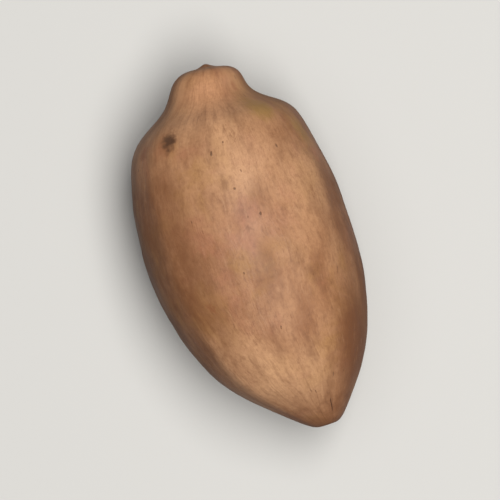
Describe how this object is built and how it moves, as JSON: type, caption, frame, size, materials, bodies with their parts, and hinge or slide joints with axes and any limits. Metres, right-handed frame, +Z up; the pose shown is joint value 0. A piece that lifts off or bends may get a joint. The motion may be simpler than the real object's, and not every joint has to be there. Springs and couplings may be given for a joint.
{
  "type": "pecan in shell",
  "caption": "Whole pecan nut in its smooth tan shell, oval with a blunt ridged beak at the apex and a tapered base with a stem scar, lying on its side.",
  "frame": {"origin": "under the middle of the nut, in the plane of the small flat spot that it rests on", "axes": "+X along the nut from the stem scar to the beak, +Z up, +Y across the nut"},
  "size_m": [0.0448, 0.0246, 0.024],
  "materials": {
    "shell": "satin"
  },
  "bodies": {
    "root": {"pecan_in_shell": "shell"}
  },
  "joints": []
}
